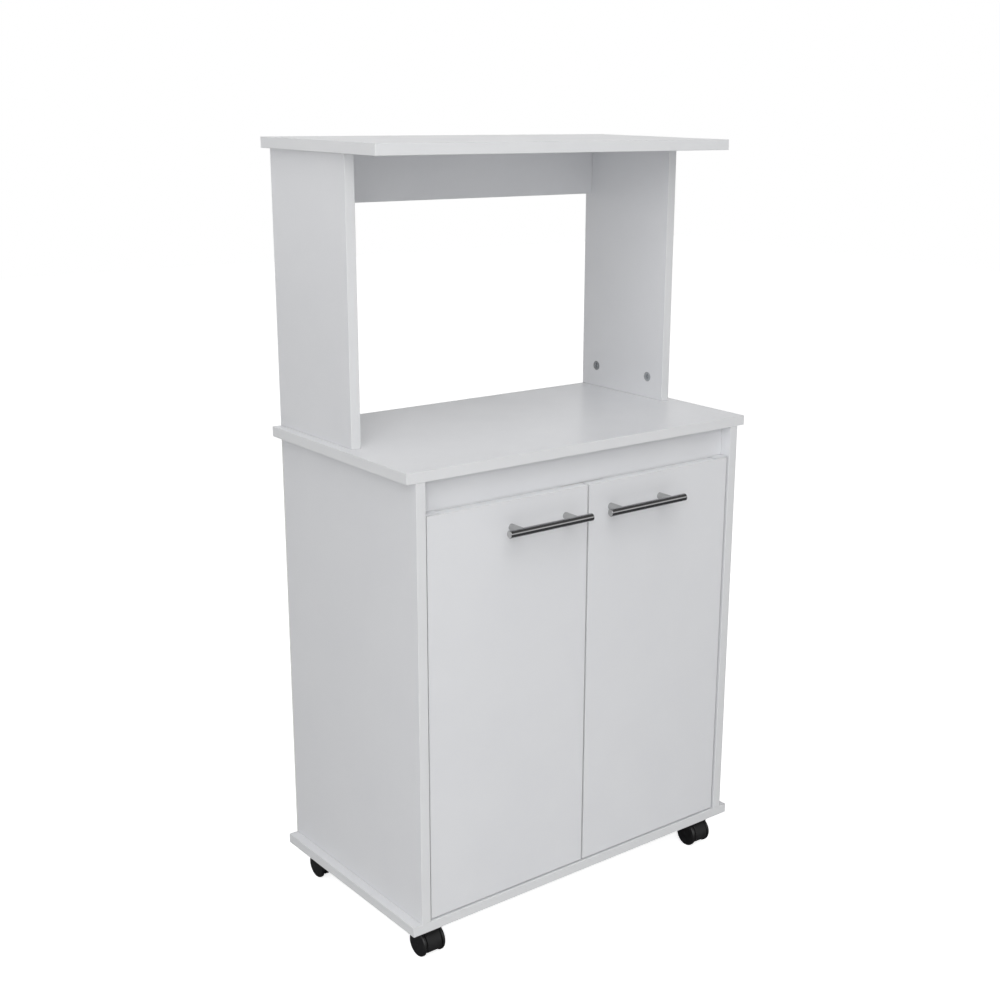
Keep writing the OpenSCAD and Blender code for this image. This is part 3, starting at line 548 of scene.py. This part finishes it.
# %% A coated board
def coated_board(node, holes=()):
    """The melamine board that stands for a CAD node, drilled where holes says."""
    low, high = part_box(node)
    piece = finish_piece(node + "_board", slab(low, high, EASE, STRIP),
                         [melamine, edge_strip, glue_line], node, weighted=False, smooth_angle=50)
    if holes:
        drill(piece, holes)
    keep_flat(piece)


print("a board's finishes:", melamine.name, edge_strip.name, glue_line.name)

# %% [markdown]
# A hole has to meet what sits in it. Its place could be typed in again, but then it would
# stay behind when a fitting moves. So it is read from the CAD pieces that fill it: each
# fitting that reaches a face of the board gets a hole there, with a little room round it.

# %% Holes read from the fittings
TOUCH = 0.02 * MM


def holes_for(node, fittings, axis, inward, room, deep=None, sunk=0.0):
    """Holes in the face of a board that looks against inward (1 or -1) along axis.

    room is added to a fitting's width. deep is the depth, if it isn't the fitting's own.
    sunk is how far below the face a fitting may end.
    """
    low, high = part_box(node)
    face = low[axis] if inward > 0 else high[axis]
    across = [i for i in (X, Y, Z) if i != axis]
    way = Vector([inward if i == axis else 0 for i in (X, Y, Z)])
    found = []
    for a, b in lumps(fittings):
        point = (a + b) / 2
        inside = all(low[i] < point[i] < high[i] for i in across)
        reaches = a[axis] < face + sunk + TOUCH and b[axis] > face - sunk - TOUCH
        if inside and reaches:
            wide = max(b[i] - a[i] for i in across) + room
            own_depth = (b[axis] - face) if inward > 0 else (face - a[axis])
            point[axis] = face
            found.append((point, way, wide, deep or own_depth))
    print(len(found), "holes for", fittings, "in", node)
    return found

# %% [markdown]
# The side panels also have rows of holes, 32 mm apart, in which the inner shelf can be set
# higher or lower. Two holes above and two below each shelf pin are enough to show that. No
# fitting fills them, so they are counted off from the shelf pins, which sit in the middle.

# %% Rows of holes for the shelf pins
PIN_PITCH = 32 * MM
PIN_HOLE_WIDE = 5.2 * MM
PIN_HOLE_DEEP = 9 * MM
ROWS_EACH_WAY = 2


def pin_rows(node, inward):
    low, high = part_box(node)
    face = low.x if inward > 0 else high.x
    found = []
    for a, b in lumps("shelf_pins"):
        middle = (a + b) / 2
        if middle.x * inward > 0:
            for row in range(-ROWS_EACH_WAY, ROWS_EACH_WAY + 1):
                point = Vector((face, middle.y, middle.z + row * PIN_PITCH))
                found.append((point, Vector((inward, 0, 0)), PIN_HOLE_WIDE, PIN_HOLE_DEEP))
    print(len(found), "shelf pin holes in", node)
    return found

# %% [markdown]
# The side panels carry the worktop, and the uprights carry the top shelf. All four are drilled
# on their inner faces for the cams that pull the joints tight. A cam turns in its hole, so
# the hole is 0.2 mm wider than the cam.

# %% Side panels and uprights
CAM_ROOM = 0.2 * MM

for side, sign in (("left", -1), ("right", 1)):
    panel = "side_panel_" + side
    coated_board(panel, holes_for(panel, "cam_discs", X, sign, CAM_ROOM) + pin_rows(panel, sign))
    stand = "upright_" + side
    coated_board(stand, holes_for(stand, "cam_discs", X, sign, CAM_ROOM))

# %% [markdown]
# The level boards and the two rails tie the sides together. The base is screwed on from below,
# with the screws' heads sunk 1.2 mm into wider holes, and the top shelf from above, with a
# plastic cap over each screw. The worktop and the loose inner shelf have no open holes.

# %% Base, worktop, rails and shelves
SCREW_SUNK = 1.2 * MM
SCREW_ROOM = 2.2 * MM
CAP_ROOM = 0.2 * MM

coated_board("base_board", holes_for("base_board", "carcass_screws", Z, 1, SCREW_ROOM,
                                     deep=SCREW_SUNK, sunk=SCREW_SUNK))
coated_board("worktop")
coated_board("front_rail", holes_for("front_rail", "cam_discs", Y, -1, CAM_ROOM))
coated_board("hutch_rail", holes_for("hutch_rail", "cam_discs", Y, -1, CAM_ROOM))
coated_board("top_shelf", holes_for("top_shelf", "screw_caps", Z, -1, CAP_ROOM))
coated_board("inner_shelf")

# %% [markdown]
# The back panel is 3 mm hardboard, painted white and pinned into the panels' back edges.
# It is cut with a saw and not edged. The same slab does for it, without a strip and with
# only a slight rounding, as 0.6 mm would take nearly half of its edge.

# %% Back panel
SAWN_EASE = 0.25 * MM

back_low, back_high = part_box("back_panel")
finish_piece("back_panel_sheet", slab(back_low, back_high, SAWN_EASE), [hardboard], "back_panel",
             smooth_angle=50)

# %% [markdown]
# The doors are boards of the same stuff, edged all round and eased like the carcass. Their
# edges show more than the carcass's, as fine bright lines along the gaps, so it matters here
# that the easing is real geometry and not a bump.

# %% Doors
for side in ("left", "right"):
    coated_board("door_" + side)

# %% [markdown]
# Round pieces are turned, in the workshop and here: half a section is spun about an axis.
# A cylinder could be bevelled instead, but a drawn section holds every groove and chamfer in
# one list. The section is drawn on Z and then laid along the piece's own axis.

# %% Turning
SPIN_WELD = 0.001 * MM


def turned(section, middle, along, steps):
    """Spins an open section of (radius, distance along) points about the axis through middle."""
    bm = bmesh.new()
    points = [bm.verts.new((r, 0, h)) for r, h in section]
    line = [bm.edges.new(pair) for pair in zip(points, points[1:])]
    bmesh.ops.spin(bm, geom=points + line, cent=(0, 0, 0), axis=(0, 0, 1), angle=math.tau,
                   steps=steps, use_merge=True)
    bmesh.ops.remove_doubles(bm, verts=bm.verts, dist=SPIN_WELD)
    bmesh.ops.transform(bm, matrix=laid_along(along, middle), verts=bm.verts)
    return bm


def rounded_corner(r, h, size, steps):
    """Points of a quarter round at the outer corner (r, h), from the rim to the end face."""
    angles = [math.pi / 2 * i / steps for i in range(steps + 1)]
    return [(r - size + size * math.cos(a), h - size + size * math.sin(a)) for a in angles]


print("middle of a round of 1 at the corner (5, 9):",
      [round(c, 2) for c in rounded_corner(5, 9, 1, 2)[1]])

# %% [markdown]
# Some shapes can't be turned. The pulls' posts seat on the bar with a saddle, the curve where
# two cylinders meet, and that is already right in the CAD model. So a copy of the CAD mesh
# is taken and only its rims are eased: each edge sharper than 35 degrees gets a small bevel.

# %% Easing a CAD shape
RIM_ANGLE = 35


def softened(node, process, surface, ease):
    """The piece that stands for a CAD node, with the same shape and its rims eased."""
    bm = merged_copy(node)
    sharp = math.radians(RIM_ANGLE)
    rims = [e for e in bm.edges if e.is_manifold and e.calc_face_angle(0) > sharp]
    bmesh.ops.bevel(bm, geom=rims, offset=ease, offset_type="OFFSET", segments=2, profile=0.5,
                    affect="EDGES", material=-1, clamp_overlap=True)
    finish_piece(node + "_" + process, bm, [surface], node)


print("edges over", RIM_ANGLE, "degrees are eased")

# %% [markdown]
# A pull is a round bar on two posts. A bevelled cylinder would do for the bar, but not for
# what the lathe leaves at its ends. So the section is one end, drawn from its rounded corner
# to its middle, and the same end mirrored. The end is faced, and the tool leaves it a hair
# lower half-way in. The faces that look along the bar take the duller finish, whose colour is
# painted paler than the bar's, as painted light.

# %% Pulls
ROUND_STEPS = 96
BAR_CORNER = 0.7 * MM
BAR_CORNER_STEPS = 5
END_LOWER = 0.02 * MM
LOWEST_AT = 0.45

for side in ("left", "right"):
    low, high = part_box("pull_bar_" + side)
    half = (high.x - low.x) / 2
    radius = (high.z - low.z) / 2
    corner = rounded_corner(radius, half, BAR_CORNER, BAR_CORNER_STEPS)
    end = corner + [(radius * LOWEST_AT, half - END_LOWER), (0, half)]
    section = [(r, -h) for r, h in reversed(end)] + end
    bar = turned(section, (low + high) / 2, (1, 0, 0), ROUND_STEPS)
    bar.normal_update()
    # The end faces get the duller finish with the paler painted colour, a painted highlight
    for face in bar.faces:
        face.material_index = int(abs(face.normal.x) > SQUARE_ON)
    finish_piece("pull_bar_" + side + "_turned", bar, [bar_steel, faced_steel_with_painted_light], "pull_bar_" + side)
    softened("pull_posts_" + side, "turned", post_steel, ease=0.25 * MM)

# %% [markdown]
# A caster's wheel is a narrow nylon disc moulded in one go: a hub that runs on the axle, a
# tread with a rounded shoulder, a fine mould line round it and a small gate mark outside.
# A disc and a hub could be two cylinders joined, but all of this is round about one axis, so
# one section holds it, from the bore over the tread to the gate.

# %% Section of a caster wheel
WHEEL_WIDE = 5 * MM
HUB = 5.5 * MM
HUB_CHAMFER = 0.3 * MM
BORE = 3.06 * MM
BORE_CHAMFER = 0.4 * MM
BORE_DEEP = 10.2 * MM
INNER_ROUND = 1 * MM
INNER_ROUND_STEPS = 5
SHOULDER = 2.5 * MM
SHOULDER_STEPS = 10
# The mould line is a groove, one step deep and one step wide at its floor
SEAM_FROM = 1.6 * MM
SEAM_STEP = 0.1 * MM
GATE = 1.4 * MM
GATE_CHAMFER = 0.2 * MM
GATE_DEEP = 0.25 * MM


def wheel_section(radius, half):
    """Section of a wheel whose hub starts at -half and whose outer face lies at half."""
    inner = half - WHEEL_WIDE
    bottom = BORE_DEEP - half
    hub = [(0, bottom), (BORE, bottom), (BORE, BORE_CHAMFER - half), (BORE + BORE_CHAMFER, -half),
           (HUB - HUB_CHAMFER, -half), (HUB, HUB_CHAMFER - half), (HUB, inner)]
    inner_corner = rounded_corner(radius, half, INNER_ROUND, INNER_ROUND_STEPS)
    edge = [(r, inner + half - h) for r, h in reversed(inner_corner)]
    seam = [(radius - sunk * SEAM_STEP, inner + SEAM_FROM + step * SEAM_STEP)
            for step, sunk in enumerate((0, 1, 1, 0))]
    shoulder = rounded_corner(radius, half, SHOULDER, SHOULDER_STEPS)
    gate = [(GATE, half), (GATE - GATE_CHAMFER, half - GATE_DEEP), (0, half - GATE_DEEP)]
    return hub + edge + seam + shoulder + gate


print("points in a wheel's section:", len(wheel_section(20 * MM, 6 * MM)))

# %% [markdown]
# There are four casters with two wheels each, and the left and right wheels mirror each
# other. Spinning the section about -X or X turns the outer face the right way, which saves a
# mirror. The wheels are round all over, so their normals need no weights.

# %% Caster wheels
CORNERS = ("fl", "fr", "bl", "br")

for corner in CORNERS:
    for hand, sign in (("left", -1), ("right", 1)):
        node = "wheel_" + corner + "_" + hand
        low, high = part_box(node)
        section = wheel_section((high.z - low.z) / 2, (high.x - low.x) / 2)
        wheel = turned(section, (low + high) / 2, (sign, 0, 0), ROUND_STEPS)
        finish_piece(node + "_moulded", wheel, [nylon_black], node, weighted=False, smooth_angle=32)

# %% [markdown]
# The hood of a caster is a curved nylon shell with sockets for the axle and the swivel pin,
# and its plate is pressed from steel. Both keep the shape that the CAD gives them. Moulded
# edges are rounder than pressed ones, so the hoods are eased more.

# %% Caster hoods and plates
for corner in CORNERS:
    softened("caster_hood_" + corner, "moulded", nylon_dull, ease=0.5 * MM)
    softened("caster_plate_" + corner, "pressed", steel_black, ease=0.3 * MM)

# %% [markdown]
# Screw heads are seen where a door is open or the cabinet is tipped up. There are two kinds:
# domed heads that sit on a surface, and countersunk ones that end flush with it. Each is
# turned from a section that runs from the tip to the rim of the flat on its head, and the
# flat is left open for the recess.

# %% Section of a screw
# The tip as a share of the shank's width, and the share of its length where it has full width
TIP_NARROW = 0.6
TIP_FROM = 0.9
COUNTERSINK_RIM = 0.1 * MM
# Outlines of the heads, as shares of the head's radius, and for the dome of its height too
DOME = ((1, 0), (1, 0.35), (0.93, 0.72), (0.72, 0.95), (0.52, 1))
FLAT = (0.98, 0.55)


def screw_section(head_wide, head_high, shank_wide, shank_long):
    """Section of a screw from its tip at -shank_long. A head_high of 0 is a countersunk head."""
    head, shank = head_wide / 2, shank_wide / 2
    tip = [(0, -shank_long), (shank * TIP_NARROW, -shank_long), (shank, -shank_long * TIP_FROM)]
    if head_high:
        return tip + [(shank, 0)] + [(head * r, head_high * h) for r, h in DOME]
    cone = [(shank, -head / 2), (head, -COUNTERSINK_RIM)]
    return tip + cone + [(head * share, 0) for share in FLAT]


print("points in a domed and in a countersunk screw:", len(screw_section(8, 2.4, 4, 20)), "and",
      len(screw_section(6, 0, 3, 12)))

# %% [markdown]
# The cross recess is punched cold, so it tapers to its floor. A Boolean with a cross would do
# it too, but there are 36 screws, and moving points costs nothing. The flat is closed, inset
# and extruded once. The 24 points of the new floor are then pushed in, and a cosine lets them
# reach out in four arms and draws them in between.

# %% Screws with a cross recess
SCREW_STEPS = 24
# Shares of the head's radius: how far out the open flat's points lie, and the inset
FLAT_REACH = 0.56
RECESS_RIM = 0.05
# Depth as a share of the head's width, and the most that it may be
RECESS_DEEP = 0.22
RECESS_DEEPEST = 1.6 * MM
# Shares of the inset flat that the recess's floor keeps in between, and adds along its arms
CROSS_WAIST = 0.35
CROSS_REACH = 0.6


def cross_screw(bm, seat, outward, head_wide, head_high, shank_wide, shank_long):
    """Adds one screw to bm. Its head rises from the point seat towards outward."""
    section = screw_section(head_wide, head_high, shank_wide, shank_long)
    screw = turned(section, seat, outward, SCREW_STEPS)
    radius = head_wide / 2
    top = seat + outward * head_high
    flat = [v for v in screw.verts if (v.co - top).length < radius * FLAT_REACH]
    cap = bmesh.ops.contextual_create(screw, geom=flat)["faces"][0]
    bmesh.ops.inset_individual(screw, faces=[cap], thickness=radius * RECESS_RIM)
    floor = bmesh.ops.extrude_discrete_faces(screw, faces=[cap])["faces"][0]
    middle = floor.calc_center_median()
    arm_a = outward.orthogonal().normalized()
    arm_b = outward.cross(arm_a)
    for vert in floor.verts:
        offset = vert.co - middle
        turn = math.atan2(offset.dot(arm_b), offset.dot(arm_a))
        spread = CROSS_WAIST + CROSS_REACH * abs(math.cos(2 * turn)) ** 3
        vert.co = middle + offset * spread - outward * min(head_wide * RECESS_DEEP, RECESS_DEEPEST)
    bmesh.ops.remove_doubles(screw, verts=screw.verts, dist=SPIN_WELD)
    moved = bpy.data.meshes.new("screw")
    screw.to_mesh(moved)
    screw.free()
    bm.from_mesh(moved)
    bpy.data.meshes.remove(moved)


def screws(node, outward, head_wide, head_high, shank_wide, turned_above=math.inf):
    """All the screws of a node as one piece. Above a height, their heads face the other way."""
    bm = bmesh.new()
    usual = Vector(outward)
    axis = max((X, Y, Z), key=lambda i: abs(usual[i]))
    boxes = lumps(node)
    for a, b in boxes:
        way = -usual if a.z > turned_above else usual
        seat = (a + b) / 2
        seat[axis] = (b[axis] if way[axis] > 0 else a[axis]) - way[axis] * head_high
        cross_screw(bm, seat, way, head_wide, head_high, shank_wide, b[axis] - a[axis] - head_high)
    print(len(boxes), "screws in", node)
    finish_piece(node + "_cross_head", bm, [zinc], node, weighted=False, smooth_angle=30)


print("steps round a screw:", SCREW_STEPS)

# %% [markdown]
# The pulls' machine screws have their heads on the back of the doors. The heads of the
# casters' screws, the strip's and the catch's point down. Those of the long carcass screws
# point down in the base and up in the top shelf. Only the widths and the heads' heights are
# given here, as sizes usual for such screws. Place and length come from the CAD model.

# %% Screws that can be seen
UP_FROM = 1000 * MM
DOWN = (0, 0, -1)
BACK = (0, 1, 0)

for side in ("left", "right"):
    screws("pull_screws_" + side, BACK, head_wide=8 * MM, head_high=2.4 * MM, shank_wide=4 * MM)
screws("caster_screws", DOWN, head_wide=7 * MM, head_high=2 * MM, shank_wide=4 * MM)
screws("top_pivot_screws", DOWN, head_wide=6 * MM, head_high=0, shank_wide=3 * MM)
screws("catch_screws", DOWN, head_wide=6 * MM, head_high=0, shank_wide=3 * MM)
screws("carcass_screws", DOWN, head_wide=10 * MM, head_high=0, shank_wide=6 * MM,
       turned_above=UP_FROM)

# %% [markdown]
# The small fittings are pressed, folded, turned, cast, ground or moulded: strike plates and
# bushes on the doors, the strip and the pins that they turn on, the magnetic catch, cams,
# shelf pins and caps. Each could be modelled again, but the CAD shape is exact, and at this
# size only the easing of its edges is missing. Cast, pressed and folded ones are sharpest.

# %% Small fittings
for side in ("left", "right"):
    softened("strike_plate_" + side, "pressed", zinc, ease=0.15 * MM)
    softened("door_bushes_" + side, "turned", plastic_white, ease=0.2 * MM)
softened("top_pivot_strip", "folded", powder_white, ease=0.15 * MM)
softened("bottom_pivots", "turned", zinc, ease=0.2 * MM)
softened("catch_case", "moulded", plastic_white, ease=0.5 * MM)
softened("catch_magnets", "ground", ferrite, ease=0.2 * MM)
softened("cam_discs", "cast", zinc, ease=0.12 * MM)
softened("shelf_pins", "turned", zinc, ease=0.2 * MM)
softened("screw_caps", "moulded", plastic_white, ease=0.2 * MM)

# %% [markdown]
# Bolts, dowels and axles are hidden, and the back panel's pins are dots. A new shape would
# never be seen, so these CAD nodes stay as they are and only get the finish that they have on
# the real cabinet. It goes into the mesh's list of materials, and its shape isn't touched.

# %% Finishes of the CAD nodes that stay
def finish_node(node, surface):
    mesh = frame["nodes"][node].data
    mesh.materials.clear()
    mesh.materials.append(surface)
    print("finish:", node, surface.name)


for node in ("cam_bolts", "back_panel_pins", *("caster_axle_" + corner for corner in CORNERS)):
    finish_node(node, zinc)
finish_node("dowels", beech)

# %% [markdown]
# The studio has a pale floor that runs to white and keeps the soft shadow. A floor bright
# enough for that would also throw too much light on the cabinet from below. So it glows for
# the camera alone: other rays meet plain pale paint, and rays that come from a mirror finish
# meet a dark one, which gives the steel its dark lower edge.

# %% Floor
FLOOR_REACH = 8
FLOOR_GLOW = 0.78

floor_mesh = bpy.data.meshes.new("studio_floor")
sheet = bmesh.new()
bmesh.ops.create_grid(sheet, x_segments=1, y_segments=1, size=FLOOR_REACH)
sheet.to_mesh(floor_mesh)
sheet.free()
studio_floor = new_object("studio_floor", floor_mesh)

floor_paint = bpy.data.materials.new("studio_floor_paint")
floor_paint.use_nodes = True
tree = floor_paint.node_tree
tree.nodes.clear()
path = add(tree, "ShaderNodeLightPath")
plain = add(tree, "ShaderNodeBsdfDiffuse", {"Color": linear("#E8E8E8")})
glow = add(tree, "ShaderNodeEmission", {"Color": linear("#FFFFFF"), "Strength": FLOOR_GLOW})
lifted = add(tree, "ShaderNodeAddShader", links={0: plain.outputs[0], 1: glow.outputs[0]})
seen = add(tree, "ShaderNodeMixShader",
           links={0: path.outputs["Is Camera Ray"], 1: plain.outputs[0], 2: lifted.outputs[0]})
dark = add(tree, "ShaderNodeBsdfDiffuse", {"Color": linear("#6A6A6C")})
mirrored = add(tree, "ShaderNodeMixShader",
               links={0: path.outputs["Is Glossy Ray"], 1: seen.outputs[0], 2: dark.outputs[0]})
add(tree, "ShaderNodeOutputMaterial", links={"Surface": mirrored.outputs[0]})
floor_mesh.materials.append(floor_paint)
print("floor in metres:", [round(side) for side in studio_floor.dimensions[:2]])

# %% [markdown]
# Even light comes from all round, and the world gives it for nothing: one plain strength, and
# full white where the camera looks at it. But round metal under even light looks like grey
# plastic. So a ray from a mirror finish meets a world with a band in it, as in a room: bright
# up to 16 degrees above the horizon, and dark from 26 degrees upwards.

# %% World
# Sockets of a Mix node that mixes plain numbers
NUMBER_A, NUMBER_B = 2, 3
AMBIENT = 0.32
# A height is the sine of the angle above the horizon
BRIGHT_UP_TO = 0.28
DARK_FROM = 0.44
BRIGHT = 1.15
DARK = 0.16

world = bpy.data.worlds.new("studio_air")
bpy.context.scene.world = world
world.use_nodes = True
tree = world.node_tree
tree.nodes.clear()
path = add(tree, "ShaderNodeLightPath")
shown = add(tree, "ShaderNodeMath", {"operation": "MAXIMUM"},
            {0: path.outputs["Is Camera Ray"], 1: path.outputs["Is Transmission Ray"]})
level = add(tree, "ShaderNodeMapRange", {"To Min": AMBIENT, "To Max": 1.0},
            {"Value": shown.outputs[0]})
way = add(tree, "ShaderNodeTexCoord")
height = add(tree, "ShaderNodeSeparateXYZ", links={0: way.outputs["Generated"]})
band = add(tree, "ShaderNodeMapRange",
           {"From Min": DARK_FROM, "From Max": BRIGHT_UP_TO, "To Min": DARK, "To Max": BRIGHT},
           {"Value": height.outputs["Z"]})
strength = add(tree, "ShaderNodeMix", {"data_type": "FLOAT"},
               {0: path.outputs["Is Glossy Ray"], NUMBER_A: level.outputs[0],
                NUMBER_B: band.outputs[0]})
air = add(tree, "ShaderNodeBackground", {"Color": linear("#FFFFFF")},
          {"Strength": strength.outputs[0]})
add(tree, "ShaderNodeOutputWorld", links={"Surface": air.outputs[0]})
print("nodes in the world:", len(tree.nodes))

# %% [markdown]
# Four square lamps give the faces their slight differences. The key stands high in front on
# the left. A small lamp below it brightens the front, a weak one the left side, and one far
# up the level boards. A sun lamp would be simpler, but its shadows are hard. These lamps are
# wide, so theirs are soft. All of them aim at the middle of the cabinet.

# %% Lamps
AIM = Vector((0, 0, 0.5))


def softbox(name, place, size, power):
    """A square lamp that looks at AIM, its size in metres and its power in watts."""
    lamp = bpy.data.lights.new(name, "AREA")
    lamp.shape = "SQUARE"
    lamp.size = size
    lamp.energy = power
    box = new_object(name, lamp)
    box.location = place
    box.rotation_euler = (AIM - Vector(place)).to_track_quat("-Z", "Y").to_euler()
    print("lamp:", name, power, "W")


softbox("softbox_key", (-3.0, -4.1, 4.2), size=4.0, power=128)
softbox("softbox_low", (-2.2, -3.0, 1.6), size=1.6, power=24)
softbox("softbox_left", (-3.0, -0.9, 1.2), size=1.6, power=7.5)
softbox("softbox_top", (-1.0, -2.0, 5.5), size=3.4, power=76)

# %% [markdown]
# The camera stands where the photograph was taken from, so that a render can be laid over
# it. Its place and lens were found by fitting the cabinet's straight edges, because a camera
# that is moved by eye never quite matches. It looks at the front from 39 degrees to the left
# and 16 degrees downwards. Standard shows the colours about as they are written.

# %% Camera
eye = bpy.data.cameras.new("photo_view")
eye.sensor_width = 36
eye.lens = 52.972
eye.shift_x = -0.0579
eye.shift_y = 0.0206
camera = new_object("photo_view", eye)
camera.location = (-1.31407, -1.68611, 1.18857)
camera.rotation_euler = [math.radians(a) for a in (73.9079, -0.7352, -39.2336)]
bpy.context.scene.camera = camera
bpy.context.scene.view_settings.view_transform = "Standard"
print("camera to the cabinet's axis in metres:", round(camera.location.xy.length, 2))
